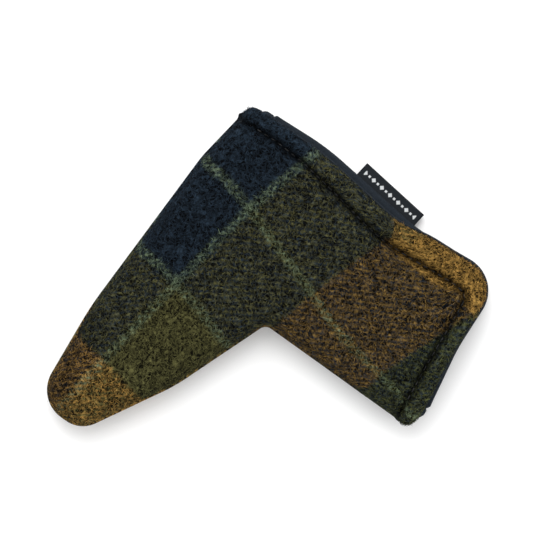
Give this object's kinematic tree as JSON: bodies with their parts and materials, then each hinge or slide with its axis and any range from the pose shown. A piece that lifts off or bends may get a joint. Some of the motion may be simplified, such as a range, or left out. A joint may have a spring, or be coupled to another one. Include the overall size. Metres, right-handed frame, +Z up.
{
  "type": "blade putter head cover",
  "caption": "Flat padded L-shaped wool cover for a blade putter head: a toe arm and a shaft arm, sewn round the outside, open along a hemmed mouth that closes by magnets in the hem.",
  "frame": {"origin": "on the table under the cover, on the centre line of the shaft arm, 41 mm in from the outer edge of the toe arm", "axes": "+X along the shaft arm towards the shaft end; -Y along the toe arm towards the toe; +Z up from the back panel to the front panel, as the cover lies flat"},
  "size_m": [0.1536, 0.1762, 0.026],
  "materials": {
    "wool": "brushed 2/2 twill wool in a dark tartan, about 1.8 mm thick with its nap",
    "fleece": "very dark navy pile fleece",
    "foam": "white polyester interlining",
    "thread": "black spun polyester sewing thread",
    "magnet": "nickel-plated bar magnet",
    "sleeve": "clear vinyl sleeve",
    "label": "folded woven damask ribbon, charcoal with off-white figures"
  },
  "bodies": {
    "pocket": {"back_hem_end_stitching": "thread", "back_lining_pocket": "fleece", "back_padding_pocket": "foam", "back_wool_pocket": "wool", "front_hem_end_stitching": "thread", "front_lining_pocket": "fleece", "front_padding_pocket": "foam", "front_wool_pocket": "wool", "lining_seam_thread": "thread", "outer_seam_thread": "thread"},
    "front_flap": {"front_hem_stitching": "thread", "front_lining_flap": "fleece", "front_magnet_1": "magnet", "front_magnet_2": "magnet", "front_magnet_3": "magnet", "front_magnet_sleeve_1": "sleeve", "front_magnet_sleeve_2": "sleeve", "front_magnet_sleeve_3": "sleeve", "front_padding_flap": "foam", "front_wool_flap": "wool"},
    "back_flap": {"back_hem_stitching": "thread", "back_lining_flap": "fleece", "back_magnet_1": "magnet", "back_magnet_2": "magnet", "back_magnet_3": "magnet", "back_magnet_sleeve_1": "sleeve", "back_magnet_sleeve_2": "sleeve", "back_magnet_sleeve_3": "sleeve", "back_padding_flap": "foam", "back_wool_flap": "wool", "label_tail": "label"},
    "label": {"woven_label": "label"}
  },
  "joints": [
    {"name": "front_flap_fold", "type": "hinge", "parent": "pocket", "child": "front_flap", "pos_m": [-0.02456, 0.04154, 0.026], "axis": [0.8888, -0.4584, 0], "range_deg": [0, 100], "stiffness_Nm_per_rad": 0.02},
    {"name": "back_flap_fold", "type": "hinge", "parent": "pocket", "child": "back_flap", "pos_m": [-0.02456, 0.04154, 0], "axis": [-0.8888, 0.4584, 0], "range_deg": [0, 60], "stiffness_Nm_per_rad": 0.02},
    {"name": "label_bend", "type": "hinge", "parent": "back_flap", "child": "label", "pos_m": [0.04283, 0.03937, 0.00385], "axis": [0.9905, -0.1376, 0], "range_deg": [-45, 80], "stiffness_Nm_per_rad": 0.0005}
  ]
}
